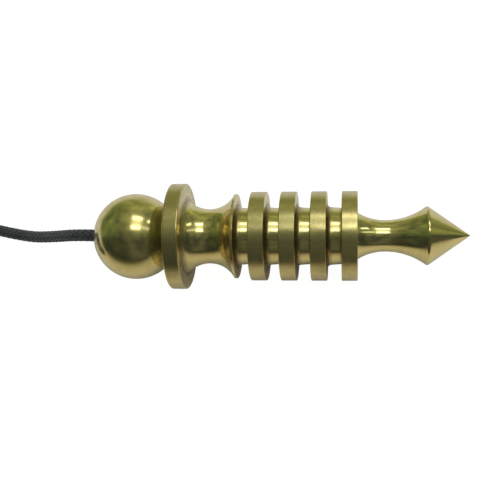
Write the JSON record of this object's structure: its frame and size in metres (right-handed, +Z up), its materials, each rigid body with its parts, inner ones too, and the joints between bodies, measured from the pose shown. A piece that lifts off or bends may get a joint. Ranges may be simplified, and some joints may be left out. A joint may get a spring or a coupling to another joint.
{
  "type": "plumb bob",
  "caption": "Turned brass plumb bob with a ringed body, cone point, screw-on ball head and soft braided cord, lying on its side.",
  "frame": {"origin": "on the surface it lies on, under the middle of bob and head; bottom centre of their box, without the cord", "axes": "+X along the bob toward its point, +Z up; the bob's axis falls 3 degrees toward the point, and the cord leaves toward -X"},
  "size_m": [0.129, 0.0324, 0.0201],
  "materials": {
    "polished_brass": "turned and polished, fine lathe marks",
    "screw_brass": "bright cut thread, satin",
    "black_cord": "soft black braid, matt",
    "tie_band": "matt elastic band"
  },
  "bodies": {
    "bob": {"bob_body": "polished_brass", "threaded_stud": "screw_brass"},
    "cord": {"inner_knot": "black_cord", "cord_run": "black_cord", "cord_coil": "black_cord", "coil_tie": "tie_band", "cord_tail": "black_cord", "end_knot": "black_cord"},
    "head": {"ball_head": "polished_brass"}
  },
  "joints": [
    {"name": "head_travel", "type": "slide", "parent": "bob", "child": "cord", "axis": [-0.9986, 0, 0.0521], "range_m": [0, 0.00501]},
    {"name": "head_unscrew", "type": "hinge", "parent": "cord", "child": "head", "pos_m": [-0.01992, 0, 0.01014], "axis": [-0.9986, 0, 0.0521], "range_deg": [0, 1800]}
  ],
  "couplings": [
    {"joint": "head_travel", "follows": "head_unscrew", "m_per_rad": 0.00015915}
  ]
}
